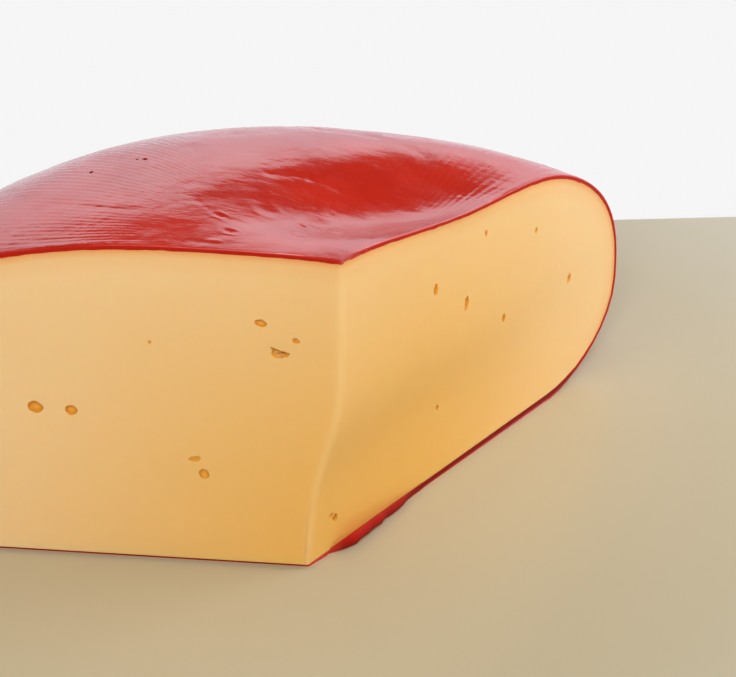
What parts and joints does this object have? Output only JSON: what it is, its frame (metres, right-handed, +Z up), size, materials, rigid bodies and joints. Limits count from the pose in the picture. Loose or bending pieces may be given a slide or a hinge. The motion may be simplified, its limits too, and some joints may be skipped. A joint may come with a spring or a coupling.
{
  "type": "cut ball of cheese",
  "caption": "A third of a flattened, red-waxed ball of semi-hard cheese, cut by two upright cuts that meet in a corner and show the cheese's small eyes.",
  "frame": {"origin": "middle of the whole piece's footprint box, at the height of the flat spot it stands on", "axes": "+Z up along the ball's own axis; the front cut faces -Y, and the second cut runs back to the right from the corner that both cuts share"},
  "size_m": [0.1946, 0.13, 0.0865],
  "materials": {
    "cheese": "satin, slightly translucent, smooth from the knife",
    "red_wax": "soft gloss, faintly ridged by the mould's cloth"
  },
  "bodies": {
    "root": {"cheese": "cheese", "wax_coat": "red_wax"}
  },
  "joints": []
}
